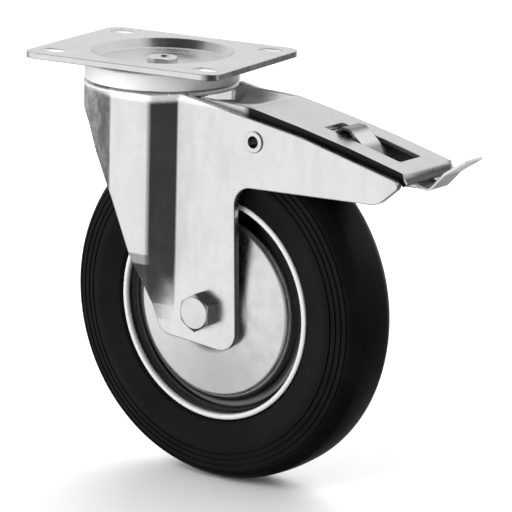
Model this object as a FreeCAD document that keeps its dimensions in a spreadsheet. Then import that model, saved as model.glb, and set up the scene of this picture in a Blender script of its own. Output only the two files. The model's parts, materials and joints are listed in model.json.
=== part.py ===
import FreeCAD, Part
import Sketcher
import math
import os
import re

# Swivel castor with a total brake: a pressed top plate, a swivelling fork with two long arms,
# a rubber-tyred wheel on a roller bearing, and a brake lever between the arms.
# Millimetres. The origin is the centre of the top plate's mounting face and +Z is up.
# The fork, lever and wheel are drawn in the fork's own frame (X from the swivel axis towards
# the lever tip) and then turned about Z by the swivel angle at rest.

V = FreeCAD.Vector
FULL_TURN = 360.0
HEX_SIDES = 6
DIMENSIONS = {
    "swivel_angle": -7.4, "running_gap": 0.05,
    # top plate with its pressed dish
    "plate_length": 125.0, "plate_width": 100.0, "plate_thickness": 3.5, "plate_corner": 9.0,
    "slot_pitch_x": 98.0, "slot_pitch_y": 73.0, "slot_width": 9.0, "slot_travel": 5.5,
    "dish_lip_radius": 41.0, "dish_wall_radius": 39.9, "dish_floor_depth": 9.0,
    "dish_bend": 2.5, "dish_brim_radius": 40.2, "dish_brim_round": 1.2,
    "dish_rim_radius": 36.7, "dish_rim_depth": 5.5, "dish_rim_inner": 35.0,
    "dish_seat_radius": 26.0, "dish_seat_depth": 6.2, "edge_round": 1.0,
    # king pin
    "pin_head_radius": 8.7, "pin_head_rise": 2.7, "pin_shank_radius": 6.5,
    "pin_flare_radius": 10.5, "pin_flare_height": 2.5, "pin_dimple_radius": 5.0,
    "pin_dimple_depth": 1.2, "pin_bevel": 1.0,
    # swivel head
    "crown_top": 15.2, "crown_thickness": 3.0, "crown_radius": 44.0, "crown_round": 2.5,
    "crown_bore": 8.0, "race_outer": 43.5, "race_inner": 40.3, "race_top": 5.4,
    "race_round": 1.2, "upper_ball_radius": 2.95, "upper_ball_row": 35.0,
    "lower_ball_radius": 1.3, "lower_ball_row": 17.0, "upper_ball_number": 34,
    "lower_ball_number": 36,
    "disc_radius": 26.0, "disc_thickness": 4.0, "disc_teeth": 16, "disc_root": 21.5,
    "disc_gap_half": 2.6, "disc_top": 20.9,
    # fork walls
    "wall": 3.8, "fork_half": 27.5, "bulge_root": 33.0, "bulge_crest": 24.0,
    "bulge_half": 41.2, "flank_x": 2.0, "flank_half": 43.0, "front_x": 42.8,
    "front_half": 24.0, "crease_round": 4.5, "crest_round": 10.0, "flank_round": 9.0,
    "front_round": 26.0, "wall_start": 16.6, "arm_reach": 190.0, "side_reach": 60.0,
    # where the bulge dies away down the leg: levels, and how far it has gone at each
    "bulge_end": 107.0, "fade_b_z": 113.0, "fade_b_share": 0.10, "fade_c_z": 121.0,
    "fade_c_share": 0.36, "fade_d_z": 137.0, "fade_d_share": 0.84, "fade_e_z": 146.0,
    "leg_end": 160.0, "fade_crest_x": 17.0, "fade_flank_x": -12.0, "fade_half": 28.6,
    "fade_lean": 0.6,
    # fork outline, seen from the side (x from the swivel axis, z below the plate)
    "front_rim": 27.0, "brow_x": 29.0, "brow_z": 37.0, "cheek_x": 19.0, "cheek_z": 54.0,
    "jaw_x": 4.6, "jaw_back_x": -1.4, "jaw_z": 76.0, "shin_x": 13.0, "shin_z": 111.5,
    "heel_x": 23.5,
    "heel_z": 153.5, "toe_x": 76.0, "toe_z": 158.0, "leg_back_x": 72.8, "armpit_z": 62.6,
    "arm_low_x": 168.0, "arm_low_z": 58.6, "arm_tip_x": 184.0, "arm_tip_z": 45.0,
    "arm_mid_x": 116.4, "arm_mid_z": 29.0, "arm_root_x": 62.0, "arm_root_z": 20.6,
    "arm_top_x": 36.0, "heel_round": 9.0, "toe_round": 11.0, "armpit_round": 11.0,
    "arm_low_round": 12.0, "arm_tip_round": 3.0, "outline_soft": 20.0, "jaw_round": 30.0,
    "arm_soft": 120.0,
    # axle
    "axle_x": 52.35, "axle_z": 136.5, "bolt_radius": 6.0, "bolt_flats_half": 9.5,
    "bolt_head_height": 7.5, "nut_height": 10.5, "nut_washer_radius": 12.0,
    "nut_washer_thick": 2.5, "hex_face_radius": 8.7,
    "hex_tool_radius": 12.4, "hex_tool_depth": 1.7, "bolt_shank_length": 71.0,
    "sleeve_radius": 9.0,
    # brake pivot
    "pivot_x": 85.6, "pivot_z": 36.0, "pivot_radius": 4.5, "pivot_bore": 3.4,
    "pivot_flange": 6.0, "pivot_flange_thick": 0.9, "brake_travel": 8.0,
    # wheel
    "tyre_radius": 100.0, "tyre_half": 21.5, "tread_half": 12.0, "tread_drop": 1.0,
    "shoulder_half": 19.4, "shoulder_radius": 94.5, "flank_radius": 79.0, "tyre_bead_radius": 66.0,
    "tyre_bead_half": 18.6, "tyre_seat_radius": 63.6, "tyre_seat_half": 15.2,
    "shoulder_round": 9.0, "shoulder_corner": 5.4, "groove_width": 0.9, "groove_depth": 0.9,
    "groove_first": 82.6, "groove_step": 3.3, "groove_number": 4,
    "rim_gauge": 1.8, "rim_bead_half": 17.6, "rim_bead_radius": 64.4, "rim_well_half": 9.0,
    "rim_well_outer": 59.6, "rim_well_inner": 54.4, "rim_dome_half": 16.6,
    "rim_dome_radius": 51.0, "rim_boss_half": 20.8, "rim_boss_radius": 22.6,
    "rim_collar_half": 22.6, "rim_neck_radius": 17.0, "rim_bead_in": 15.2,
    "rim_seat_radius": 63.3, "rim_bead_roll": 61.4, "bead_round": 1.2,
    "well_round": 3.6, "boss_round": 2.4, "dome_round": 18.0,
    "hub_outer": 16.0, "hub_bore": 13.1, "hub_half": 22.0, "seal_half": 23.2,
    "seal_inner": 9.3, "roller_radius": 2.0, "roller_row": 11.05, "roller_half": 15.0,
    "roller_number": 12, "cage_inner": 10.2, "cage_outer": 11.9, "cage_half": 18.0,
    # brake lever
    "lever_half": 23.2, "lever_gauge": 2.4, "web_front_x": 44.0, "web_front_z": 28.0,
    "web_step_x": 56.0, "web_knee_x": 79.0,
    "web_knee_z": 18.4, "web_mid_x": 113.0, "web_mid_z": 24.6, "web_far_x": 146.0,
    "web_far_z": 31.5, "web_tip_x": 180.6, "web_tip_z": 40.0, "lip_x": 181.6, "lip_z": 43.8,
    "lip_flare_x": 183.2, "lip_flare_z": 45.7, "web_soft": 60.0, "ramp_bend": 8.0, "lip_bend": 2.5,
    "cheek_front_x": 45.5, "cheek_top_z": 17.4, "cheek_low_z": 31.0, "cheek_pin_x": 74.0,
    "cheek_pin_z": 44.5, "cheek_deep_x": 96.0, "cheek_mid_z": 44.5, "cheek_tip_z": 47.2,
    "cheek_tip_x": 180.2, "cheek_round": 5.0,
    "window_start": 136.5, "window_end": 170.0, "window_half": 10.0, "window_round": 1.5,
    "loop_slot_start": 118.5, "loop_slot_end": 131.8, "loop_slot_half": 8.6,
    # latch leaf: a strip that loops over the bridge of the lever and leaves under its lip
    "leaf_gauge": 1.6, "leaf_half": 7.8, "leaf_a_x": 104.6, "leaf_a_z": 25.9,
    "leaf_b_x": 122.5, "leaf_b_z": 29.45, "leaf_c_x": 130.0, "leaf_c_z": 24.3,
    "leaf_d_x": 134.8, "leaf_d_z": 24.7, "leaf_e_x": 151.0, "leaf_e_z": 38.5,
    "leaf_f_x": 187.0, "leaf_f_z": 50.0, "leaf_g_x": 196.5, "leaf_g_z": 39.8,
    "leaf_h_x": 210.0, "leaf_h_z": 31.0, "leaf_bend": 4.0, "leaf_soft": 8.0,
    "leaf_crest": 1.6,
    # lock pawl, brake shoe, rivets
    "pawl_tip_x": 22.8, "pawl_body_x": 27.6, "pawl_back_x": 56.0, "pawl_half": 11.0,
    "pawl_gauge": 2.4, "pawl_tooth_half": 1.9, "pawl_rivet_x": 49.0, "pawl_rivet_y": 6.0,
    "shoe_start_x": 91.0, "shoe_step_x": 103.6, "shoe_end_x": 118.0, "shoe_half": 15.0,
    "shoe_wall": 3.0, "shoe_roof_start": 23.4, "shoe_roof_end": 25.9, "shoe_shelf_z": 31.4,
    "shoe_gap": 1.3,
    "rivet_radius": 2.0, "rivet_head_radius": 3.4, "rivet_head": 1.3, "rivet_edge": 0.45,
    "rivet_crown": 1.6,
}


def names_to_cells(text):
    """An expression in dimension names, with each name pointed at its sheet cell."""
    return re.sub(r"[a-z_][a-z_0-9]*",
                  lambda m: "dims." + m.group() if m.group() in DIMENSIONS else m.group(), text)


def make_sheet(doc):
    sheet = doc.addObject("Spreadsheet::Sheet", "dims")
    for row, (name, value) in enumerate(DIMENSIONS.items(), start=1):
        sheet.set("A%d" % row, name)
        sheet.set("B%d" % row, str(value))
        sheet.setAlias("B%d" % row, name)
    doc.recompute()
    return sheet


doc = FreeCAD.newDocument("swivel_castor")
dims = make_sheet(doc)


def value(text):
    """The number an expression in dimension names comes to."""
    return float(dims.evalExpression(text))


def bind(thing, prop, text):
    thing.setExpression(prop, names_to_cells(text))


# ---------------------------------------------------------------- sketch helpers

SIDE_VIEW = FreeCAD.Placement(V(0, 0, 0), FreeCAD.Rotation(V(1, 0, 0), 90))
AXLE_VIEW = FreeCAD.Placement(V(0, 0, 0), FreeCAD.Rotation(V(1, 1, 1), 120))
PLAN_VIEW = FreeCAD.Placement()


def free_sketch(name, view):
    sketch = doc.addObject("Sketcher::SketchObject", name)
    sketch.Placement = view
    return sketch


def body_sketch(body, name, role, offset=None):
    """A sketch on one of the body's own origin planes, raised by an offset if one is given."""
    sketch = body.newObject("Sketcher::SketchObject", name)
    plane = [f for f in body.Origin.OriginFeatures if f.Role == role][0]
    sketch.AttachmentSupport = [(plane, "")]
    sketch.MapMode = "FlatFace"
    if offset is not None:
        bind(sketch, "AttachmentOffset.Base.z", offset)
    return sketch


def pin_coordinate(sketch, kind, geometry, point, text):
    index = sketch.addConstraint(Sketcher.Constraint(kind, -1, 1, geometry, point, value(text)))
    sketch.setExpression("Constraints[%d]" % index, names_to_cells(text))


def draw(sketch, corners, closed=True):
    """A chain of lines through the corners; a corner's third entry rounds it tangentially."""
    points = [V(value(c[0]), value(c[1]), 0) for c in corners]
    radii = [value(c[2]) if len(c) > 2 else 0.0 for c in corners]
    count = len(points)
    trims = []
    for i in range(count):
        inner = closed or 0 < i < count - 1
        if radii[i] <= 0 or not inner:
            trims.append(None)
            continue
        back = (points[i - 1] - points[i]).normalize()
        ahead = (points[(i + 1) % count] - points[i]).normalize()
        half = back.getAngle(ahead) / 2.0
        reach = radii[i] / math.tan(half)
        centre = points[i] + (back + ahead).normalize() * (radii[i] / math.sin(half))
        trims.append((points[i] + back * reach, points[i] + ahead * reach, centre))
    lines = []
    for i in range(count if closed else count - 1):
        j = (i + 1) % count
        start = trims[i][1] if trims[i] else points[i]
        end = trims[j][0] if trims[j] else points[j]
        lines.append(sketch.addGeometry(Part.LineSegment(start, end), False))
    for i in range(count):
        inner = closed or 0 < i < count - 1
        before, after = lines[i - 1], lines[i % len(lines)]
        if not inner:
            line, end = (after, 1) if i == 0 else (lines[-1], 2)
            pin_coordinate(sketch, "DistanceX", line, end, corners[i][0])
            pin_coordinate(sketch, "DistanceY", line, end, corners[i][1])
            continue
        if trims[i] is None:
            sketch.addConstraint(Sketcher.Constraint("Coincident", before, 2, after, 1))
            pin_coordinate(sketch, "DistanceX", after, 1, corners[i][0])
            pin_coordinate(sketch, "DistanceY", after, 1, corners[i][1])
            continue
        first, last, centre = trims[i]
        circle = Part.Circle(centre, V(0, 0, 1), radii[i])
        turn = (points[i] - points[i - 1]).cross(points[(i + 1) % count] - points[i]).z
        a, b = (first, last) if turn > 0 else (last, first)
        start_angle = math.atan2(a.y - centre.y, a.x - centre.x)
        end_angle = math.atan2(b.y - centre.y, b.x - centre.x)
        if end_angle < start_angle:
            end_angle += 2 * math.pi
        arc = sketch.addGeometry(Part.ArcOfCircle(circle, start_angle, end_angle), False)
        entry, leave = (1, 2) if turn > 0 else (2, 1)
        sketch.addConstraint(Sketcher.Constraint("Tangent", before, 2, arc, entry))
        sketch.addConstraint(Sketcher.Constraint("Tangent", arc, leave, after, 1))
        index = sketch.addConstraint(Sketcher.Constraint("Radius", arc, radii[i]))
        sketch.setExpression("Constraints[%d]" % index, names_to_cells(corners[i][2]))
        corner = sketch.addGeometry(Part.Point(points[i]), True)
        sketch.addConstraint(Sketcher.Constraint("PointOnObject", corner, 1, before))
        sketch.addConstraint(Sketcher.Constraint("PointOnObject", corner, 1, after))
        pin_coordinate(sketch, "DistanceX", corner, 1, corners[i][0])
        pin_coordinate(sketch, "DistanceY", corner, 1, corners[i][1])
    return sketch


def draw_circle(sketch, x, y, radius):
    centre = V(value(x), value(y), 0)
    circle = sketch.addGeometry(Part.Circle(centre, V(0, 0, 1), value(radius)), False)
    pin_coordinate(sketch, "DistanceX", circle, 3, x)
    pin_coordinate(sketch, "DistanceY", circle, 3, y)
    index = sketch.addConstraint(Sketcher.Constraint("Radius", circle, value(radius)))
    sketch.setExpression("Constraints[%d]" % index, names_to_cells(radius))


def draw_box(sketch, x0, x1, y0, y1, corner="0"):
    draw(sketch, [(x0, y0, corner), (x1, y0, corner), (x1, y1, corner), (x0, y1, corner)])


# ---------------------------------------------------------------- solid helpers

def new_body(name):
    return doc.addObject("PartDesign::Body", name)


def pad(body, sketch, length, reverse=False, both=False):
    feature = body.newObject("PartDesign::Pad", sketch.Name + "_pad")
    feature.Profile = sketch
    bind(feature, "Length", length)
    feature.Reversed = reverse
    feature.Midplane = both
    return feature


def pocket(body, sketch, length, reverse=False, both=False):
    """A pocket that is checked to have taken material away."""
    doc.recompute()
    before = body.Shape.Volume
    feature = body.newObject("PartDesign::Pocket", sketch.Name + "_pocket")
    feature.Profile = sketch
    bind(feature, "Length", length)
    feature.Reversed = reverse
    feature.Midplane = both
    doc.recompute()
    if not body.Shape.Volume < before:
        raise RuntimeError("%s cuts nothing" % sketch.Name)
    return feature


def turned(body, sketch, axis="V_Axis", cut=False):
    kind = "PartDesign::Groove" if cut else "PartDesign::Revolution"
    feature = body.newObject(kind, sketch.Name + "_turn")
    feature.Profile = sketch
    feature.ReferenceAxis = (sketch, [axis])
    feature.Angle = FULL_TURN
    return feature


def strip(name, sketch, gauge, side="-"):
    """A sheet-metal section: an open path thickened to its left (-) or right (+)."""
    section = doc.addObject("Part::Offset2D", name)
    section.Source = sketch
    bind(section, "Value", side + gauge if side == "-" else gauge)
    section.Mode = "Skin"
    section.Join = "Intersection"
    section.Fill = True
    return section


def extruded(name, section, direction, length, both=True):
    solid = doc.addObject("Part::Extrusion", name)
    solid.Base = section
    solid.DirMode = "Custom"
    solid.Dir = direction
    solid.Symmetric = both
    solid.Solid = True
    bind(solid, "LengthFwd", length)
    return solid


def fused(name, pieces):
    union = doc.addObject("Part::MultiFuse", name)
    union.Shapes = pieces
    union.Refine = True
    return union


def cut(name, base, tool):
    result = doc.addObject("Part::Cut", name)
    result.Base = base
    result.Tool = tool
    result.Refine = True
    return result


def cross_bar(name, x, z, radius, half):
    """A cylinder along Y through the fork frame at x, z (z is given as a depth)."""
    bar = doc.addObject("Part::Cylinder", name)
    bind(bar, "Radius", radius)
    bind(bar, "Height", "2 * " + half)
    bar.Placement = FreeCAD.Placement(V(value(x), -value(half), -value(z)),
                                      FreeCAD.Rotation(V(1, 0, 0), -90))
    return bar


NODES = {}
FORK_TURN = FreeCAD.Placement(V(0, 0, 0), FreeCAD.Rotation(V(0, 0, 1), value("swivel_angle")))
AXLE_POINT = FreeCAD.Placement(V(value("axle_x"), 0, -value("axle_z")), FreeCAD.Rotation())
TOWARDS_NEAR = FreeCAD.Rotation(V(1, 0, 0), 90)


def node(thing, name, placement):
    """Names a sub-part and notes where it goes in the assembly."""
    thing.Label = name
    NODES[name] = (thing, placement)


FIXED = FreeCAD.Placement()
ON_FORK = FORK_TURN
ON_AXLE = FORK_TURN.multiply(AXLE_POINT)


# ---------------------------------------------------------------- top plate and swivel head

def top_plate():
    body = new_body("top_plate")
    outline = body_sketch(body, "plate_outline", "XY_Plane")
    draw_box(outline, "-plate_length / 2", "plate_length / 2",
             "-plate_width / 2", "plate_width / 2", "plate_corner")
    pad(body, outline, "plate_thickness", reverse=True)
    opening = body_sketch(body, "dish_opening", "XY_Plane")
    draw_circle(opening, "0", "0", "dish_lip_radius")
    pocket(body, opening, "plate_thickness")
    dish = body_sketch(body, "dish_section", "XZ_Plane")
    bore = "pin_shank_radius + running_gap"
    draw(dish, [(bore, "-dish_floor_depth"),
                ("dish_wall_radius", "-dish_floor_depth", "dish_bend"),
                ("dish_wall_radius", "-plate_thickness", "edge_round"),
                ("dish_lip_radius + edge_round", "-plate_thickness"),
                ("dish_lip_radius + edge_round", "0"),
                ("dish_brim_radius", "0", "dish_brim_round"),
                ("dish_rim_radius", "-dish_rim_depth", "edge_round"),
                ("dish_rim_inner", "-dish_rim_depth", "dish_bend"),
                ("dish_seat_radius", "-dish_seat_depth", "dish_bend"),
                (bore, "-dish_seat_depth")])
    turned(body, dish)
    slots = body_sketch(body, "plate_slots", "XY_Plane")
    for sx in ("-", ""):
        for sy in ("-", ""):
            middle_x = "%s(slot_pitch_x / 2)" % sx
            middle_y = "%s(slot_pitch_y / 2)" % sy
            reach = "(slot_travel + slot_width) / 2"
            draw_box(slots, middle_x + " - " + reach, middle_x + " + " + reach,
                     middle_y + " - slot_width / 2", middle_y + " + slot_width / 2",
                     "slot_width / 2 - running_gap")
    pocket(body, slots, "plate_thickness")
    node(body, "top_plate", FIXED)


def king_pin():
    body = new_body("king_pin")
    section = body_sketch(body, "pin_section", "XZ_Plane")
    floor = "(-dish_seat_depth)"
    foot = "-(disc_top + disc_thickness)"
    draw(section, [("0", floor + " + pin_head_rise - pin_dimple_depth"),
                   ("0", foot + " - pin_flare_height"),
                   ("pin_flare_radius - pin_bevel", foot + " - pin_flare_height"),
                   ("pin_flare_radius", foot + " - pin_flare_height / 2"),
                   ("pin_flare_radius", foot),
                   ("pin_shank_radius", foot),
                   ("pin_shank_radius", floor),
                   ("pin_head_radius", floor),
                   ("pin_head_radius", floor + " + pin_head_rise", "pin_bevel"),
                   ("pin_dimple_radius", floor + " + pin_head_rise"),
                   ("pin_dimple_radius - pin_bevel",
                    floor + " + pin_head_rise - pin_dimple_depth")])
    turned(body, section)
    node(body, "king_pin", FIXED)


def lock_disc():
    """Toothed washer under the fork crown that the pawl on the lever drops into."""
    body = new_body("lock_disc")
    outline = body_sketch(body, "disc_outline", "XY_Plane", "-disc_top")
    draw_circle(outline, "0", "0", "disc_radius")
    draw_circle(outline, "0", "0", "pin_shank_radius + running_gap")
    pad(body, outline, "disc_thickness", reverse=True)
    gap = body_sketch(body, "tooth_gap", "XY_Plane", "-disc_top")
    draw_box(gap, "disc_root", "disc_radius + edge_round", "-disc_gap_half", "disc_gap_half",
             "edge_round")
    first = pocket(body, gap, "disc_thickness")
    ring = body.newObject("PartDesign::PolarPattern", "tooth_ring")
    ring.Originals = [first]
    ring.Axis = (gap, ["N_Axis"])
    ring.Angle = FULL_TURN
    bind(ring, "Occurrences", "disc_teeth")
    body.Tip = ring
    node(body, "lock_disc", ON_FORK)


def ball_row(name, radius, row, depth, number, placement):
    balls = []
    for i in range(int(value(number))):
        angle = 2 * math.pi * i / int(value(number))
        ball = doc.addObject("Part::Sphere", name + "_ball")
        bind(ball, "Radius", radius)
        ball.Placement.Base = V(value(row) * math.cos(angle), value(row) * math.sin(angle),
                                -value(depth))
        balls.append(ball)
    group = doc.addObject("Part::Compound", name)
    group.Links = balls
    node(group, name, placement)


def race_ring():
    """Bright upper race that stands on the crown and hides the upper row of balls."""
    body = new_body("race_ring")
    section = body_sketch(body, "race_section", "XZ_Plane")
    draw(section, [("race_inner", "-crown_top"), ("race_outer", "-crown_top"),
                   ("race_outer", "-race_top", "race_round"),
                   ("race_inner", "-race_top", "race_round / 2")])
    turned(body, section)
    node(body, "race_ring", ON_FORK)


# ---------------------------------------------------------------- fork

def bulge_path(name, crest, flank):
    """Half of the leg's plan: the flat main plane, the step outwards and the bright flank."""
    path = free_sketch(name, PLAN_VIEW)
    draw(path, [("bulge_root + crease_round", "-fork_half"),
                ("bulge_root", "-fork_half", "crease_round / 2"),
                (crest[0], "-" + crest[1], "crest_round / 2"),
                (flank[0], "-" + flank[1])], closed=False)
    return path


def faded(start, end, share):
    return "(%s + %s * (%s - %s))" % (start, share, end, start)


def lower_leg_step(side):
    """The bulge sinks into the leg's main plane between its end and the foot of the leg."""
    sections = []
    levels = (("bulge_end", "0"), ("fade_b_z", "fade_b_share"), ("fade_c_z", "fade_c_share"),
              ("fade_d_z", "fade_d_share"), ("fade_e_z", "1"), ("leg_end", "1"))
    for level, share in levels:
        crest = (faded("bulge_crest", "fade_crest_x", share),
                 faded("bulge_half", "fade_half", share))
        flank = (faded("(-flank_x)", "fade_flank_x", share),
                 faded("flank_half", "(fade_half + fade_lean)", share))
        path = bulge_path("step_%s" % level, crest, flank)
        section = strip("step_section_%s" % level, path, "wall", "+")
        section.Placement.Base.z = -value(level)
        sections.append(section)
    loft = doc.addObject("Part::Loft", "leg_step")
    loft.Sections = sections
    loft.Solid = True
    loft.Ruled = True
    if side > 0:
        return loft
    mirror = doc.addObject("Part::Mirroring", "leg_step_far")
    mirror.Source = loft
    mirror.Normal = V(0, 1, 0)
    return mirror


def fork_outline():
    outline = free_sketch("fork_outline", SIDE_VIEW)
    front = "-(front_x + crown_round)"
    draw(outline, [
        (front, "-crown_round"), (front, "-front_rim"),
        ("-brow_x", "-brow_z", "outline_soft"), ("-cheek_x", "-cheek_z", "jaw_round"),
        ("jaw_back_x", "-jaw_z", "outline_soft"),
        ("shin_x", "-shin_z", "jaw_round"),
        ("heel_x", "-heel_z", "heel_round"), ("toe_x", "-toe_z", "toe_round"),
        ("leg_back_x", "-armpit_z", "armpit_round"),
        ("arm_low_x", "-arm_low_z", "arm_low_round"),
        ("arm_tip_x", "-arm_tip_z", "arm_tip_round"),
        ("arm_mid_x", "-arm_mid_z", "arm_soft"),
        ("arm_root_x", "-arm_root_z", "outline_soft"),
        ("arm_top_x", "-wall_start", "crown_round"), ("arm_top_x", "-crown_round")])
    return outline


def fork():
    plan = free_sketch("wall_plan", PLAN_VIEW)
    corners = [("arm_reach", "-fork_half"), ("bulge_root", "-fork_half", "crease_round / 2"),
               ("bulge_crest", "-bulge_half", "crest_round / 2"),
               ("-flank_x", "-flank_half", "flank_round"),
               ("-front_x", "-front_half", "front_round")]
    mirrored = [(c[0], c[1].lstrip("-"), *c[2:]) for c in reversed(corners)]
    draw(plan, corners + mirrored, closed=False)
    upper = extruded("upper_walls", strip("wall_section", plan, "wall", "+"), V(0, 0, -1),
                     "bulge_end - wall_start", both=False)
    upper.Placement.Base.z = -value("wall_start")
    lower = []
    for side in ("-", ""):
        flat = free_sketch("leg_flat_plan", PLAN_VIEW)
        draw_box(flat, "bulge_root + crease_round", "toe_x + crease_round",
                 side + ("fork_half" if side else "(fork_half - wall)"),
                 side + ("(fork_half - wall)" if side else "fork_half"))
        leg = extruded("leg_flat", flat, V(0, 0, -1), "leg_end - bulge_end", both=False)
        leg.Placement.Base.z = -value("bulge_end")
        lower.append(leg)
    steps = [lower_leg_step(1), lower_leg_step(-1)]
    walls = fused("walls", [upper] + lower + steps)
    outline = extruded("fork_silhouette", fork_outline(), V(0, 1, 0), "2 * side_reach")
    trimmed = doc.addObject("Part::MultiCommon", "trimmed_walls")
    trimmed.Shapes = [walls, outline]
    crown = new_body("crown")
    section = body_sketch(crown, "crown_section", "XZ_Plane")
    draw(section, [("crown_bore", "-(crown_top + crown_thickness)"),
                   ("crown_radius", "-(crown_top + crown_thickness)"),
                   ("crown_radius", "-crown_top", "crown_round"),
                   ("crown_bore", "-crown_top")])
    turned(crown, section)
    shell = fused("fork_shell", [trimmed, crown])
    holes = fused("fork_holes", [
        cross_bar("axle_hole", "axle_x", "axle_z", "bolt_radius + running_gap", "side_reach"),
        cross_bar("pivot_hole", "pivot_x", "pivot_z", "pivot_radius + running_gap",
                  "side_reach")])
    node(cut("fork_pressing", shell, holes), "fork", ON_FORK)


# ---------------------------------------------------------------- axle and pivot hardware

def hexagon(sketch, flats_half):
    corners = []
    step = FULL_TURN / HEX_SIDES
    for i in range(HEX_SIDES):
        place = (flats_half, step / 2, step * i + step / 2)
        corners.append(("%s / cos(%d) * cos(%d)" % place, "%s / cos(%d) * sin(%d)" % place))
    draw(sketch, corners)


def bevel_hex(body, name, top, outward=1):
    """Turns the corners off a hexagon's end face."""
    sketch = body_sketch(body, name, "XZ_Plane")
    sign = "-" if outward > 0 else "+"
    draw(sketch, [("hex_face_radius", top),
                  ("hex_tool_radius", "%s %s hex_tool_depth" % (top, sign)),
                  ("hex_tool_radius", top)])
    turned(body, sketch, cut=True)


def axle_bolt():
    """Hexagon-head bolt; local Z points out of the near side of the fork."""
    body = new_body("axle_bolt")
    head = body_sketch(body, "bolt_head", "XY_Plane")
    hexagon(head, "bolt_flats_half")
    pad(body, head, "bolt_head_height")
    shank = body_sketch(body, "bolt_shank", "XY_Plane")
    draw_circle(shank, "0", "0", "bolt_radius")
    pad(body, shank, "bolt_shank_length", reverse=True)
    bevel_hex(body, "bolt_bevel", "bolt_head_height")
    seat = FreeCAD.Placement(V(0, -value("fork_half"), 0), TOWARDS_NEAR)
    node(body, "axle_bolt", ON_AXLE.multiply(seat))


def axle_nut():
    body = new_body("axle_nut")
    outline = body_sketch(body, "nut_outline", "XY_Plane")
    hexagon(outline, "bolt_flats_half")
    pad(body, outline, "nut_height", reverse=True)
    bore = body_sketch(body, "nut_bore", "XY_Plane")
    draw_circle(bore, "0", "0", "bolt_radius + running_gap")
    pocket(body, bore, "nut_height")
    bevel_hex(body, "nut_bevel", "-nut_height", outward=-1)
    seat = FreeCAD.Placement(V(0, value("fork_half + nut_washer_thick"), 0), TOWARDS_NEAR)
    node(body, "axle_nut", ON_AXLE.multiply(seat))


def turned_ring(name, corners, placement):
    """A ring about the axle, drawn as (distance along the axle, radius) corners."""
    body = new_body(name)
    sketch = body_sketch(body, name + "_section", "YZ_Plane")
    draw(sketch, corners)
    turned(body, sketch, axis="H_Axis")
    node(body, name, placement)
    return body


def plain_ring(name, start, end, inner, outer, placement, soft="0"):
    return turned_ring(name, [(start, inner), (end, inner), (end, outer, soft),
                              (start, outer, soft)], placement)


def pivot_tube():
    """Tubular rivet through both arms that the lever turns on, flared over each arm."""
    side = "(fork_half + running_gap)"
    lip = "(fork_half + running_gap + pivot_flange_thick)"
    turned_ring("brake_pivot_tube", [
        ("-" + lip, "pivot_bore"), (lip, "pivot_bore"),
        (lip, "pivot_flange", "pivot_flange_thick / 2"), (side, "pivot_flange"),
        (side, "pivot_radius"), ("-" + side, "pivot_radius"), ("-" + side, "pivot_flange"),
        ("-" + lip, "pivot_flange", "pivot_flange_thick / 2")],
        ON_FORK.multiply(FreeCAD.Placement(V(value("pivot_x"), 0, -value("pivot_z")),
                                           FreeCAD.Rotation())))


# ---------------------------------------------------------------- wheel

def tyre():
    side = [("tyre_seat_half", "tyre_seat_radius"), ("tyre_bead_half", "tyre_bead_radius"),
            ("tyre_half", "flank_radius", "shoulder_round"),
            ("shoulder_half", "shoulder_radius", "shoulder_corner"),
            ("tread_half", "tyre_radius - tread_drop", "shoulder_round"), ]
    far = [("-" + c[0], *c[1:]) for c in reversed(side)]
    body = turned_ring("tyre", side + [("0", "tyre_radius", "shoulder_radius")] + far, ON_AXLE)
    for hand in ("", "-"):
        for i in range(int(value("groove_number"))):
            radius = "(groove_first + %d * groove_step)" % i
            lean = "(tyre_half - shoulder_half) / (shoulder_radius - flank_radius)"
            floor = "(tyre_half - groove_depth - (%s - flank_radius) * %s)" % (radius, lean)
            sketch = body_sketch(body, "tyre_groove", "YZ_Plane")
            draw_box(sketch, hand + floor, hand + "(tyre_half + wall)",
                     radius, radius + " + groove_width")
            turned(body, sketch, axis="H_Axis", cut=True)


def rim(name, hand):
    """Half of the pressed wheel centre: rolled bead, hollow well, domed face and neck."""
    path = free_sketch(name + "_path", AXLE_VIEW)
    draw(path,
         [(hand + "rim_bead_in", "rim_seat_radius"),
          (hand + "rim_bead_half", "rim_bead_radius", "bead_round"),
          (hand + "(rim_bead_half + bead_round)", "rim_bead_roll", "bead_round"),
          (hand + "rim_well_half", "rim_well_outer", "well_round"),
          (hand + "rim_well_half", "rim_well_inner", "boss_round"),
          (hand + "rim_dome_half", "rim_dome_radius", "well_round"),
          (hand + "rim_boss_half", "rim_boss_radius", "dome_round"),
          (hand + "rim_collar_half", "rim_neck_radius + rim_gauge", "boss_round"),
          (hand + "rim_collar_half", "hub_outer + running_gap")], closed=False)
    section = strip(name + "_section", path, "rim_gauge", "-" if hand else "+")
    solid = doc.addObject("Part::Revolution", name + "_solid")
    solid.Source = section
    solid.Axis = V(0, 1, 0)
    solid.Angle = FULL_TURN
    solid.Solid = True
    node(solid, name, ON_AXLE)


def rollers():
    pins = []
    number = int(value("roller_number"))
    for i in range(number):
        angle = 2 * math.pi * i / number
        pin = doc.addObject("Part::Cylinder", "roller_pin")
        bind(pin, "Radius", "roller_radius")
        bind(pin, "Height", "2 * roller_half")
        row = value("roller_row")
        pin.Placement = FreeCAD.Placement(
            V(row * math.cos(angle), value("roller_half"), row * math.sin(angle)), TOWARDS_NEAR)
        pins.append(pin)
    group = doc.addObject("Part::Compound", "rollers")
    group.Links = pins
    node(group, "rollers", ON_AXLE)
    return pins


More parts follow.
